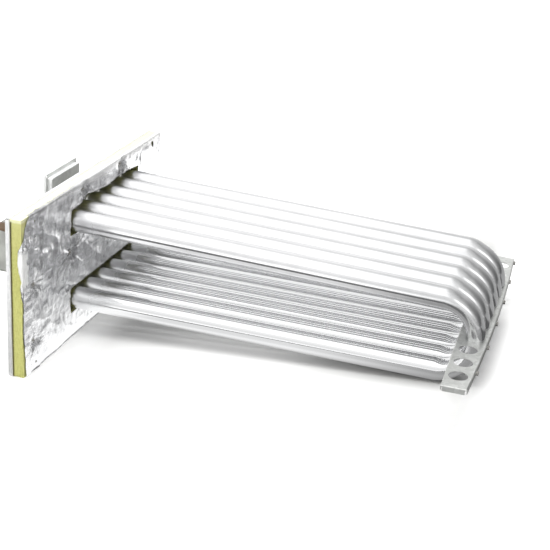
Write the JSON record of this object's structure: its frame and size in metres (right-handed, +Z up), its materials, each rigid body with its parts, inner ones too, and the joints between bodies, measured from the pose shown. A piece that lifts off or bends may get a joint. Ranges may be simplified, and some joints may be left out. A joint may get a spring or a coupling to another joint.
{
  "type": "furnace heat exchanger",
  "caption": "Tubular gas furnace heat exchanger: bent steel tubes in a foil-insulated panel, with a far support bracket, a flue collector box and an outlet adapter.",
  "frame": {"origin": "centre of the panel's rear face", "axes": "+X along the tubes, away from the panel; +Y along the tube rows, towards the side the tube group is nearer to; +Z up, towards the upper row"},
  "size_m": [1.0383, 0.7605, 0.358],
  "materials": {
    "galvanised_panel": "dull galvanised",
    "aluminised_tube": "satin aluminised",
    "galvanised_bracket": "dull galvanised",
    "plated_screw": "dull zinc plate",
    "glass_fibre_board": "loose yellow glass fibre",
    "foil": "wrinkled foil",
    "plated_pin": "dull zinc plate",
    "collector_steel": "aluminised, rusting at the folds",
    "gasket_fibre": "matt fibre",
    "adapter_steel": "dull galvanised"
  },
  "bodies": {
    "root": {"vestibule_panel": "galvanised_panel", "u_tube_1": "aluminised_tube", "u_tube_2": "aluminised_tube", "u_tube_3": "aluminised_tube", "u_tube_4": "aluminised_tube", "u_tube_5": "aluminised_tube", "u_tube_6": "aluminised_tube", "support_bracket": "galvanised_bracket", "bracket_screws": "plated_screw", "insulation_board": "glass_fibre_board", "foil_facing": "foil", "insulation_pins": "plated_pin", "pin_clips": "plated_pin", "collector_box": "collector_steel", "collector_gasket": "gasket_fibre", "collector_screws": "plated_screw", "outlet_adapter": "adapter_steel", "outlet_gasket": "gasket_fibre", "outlet_screws": "plated_screw"}
  },
  "joints": []
}
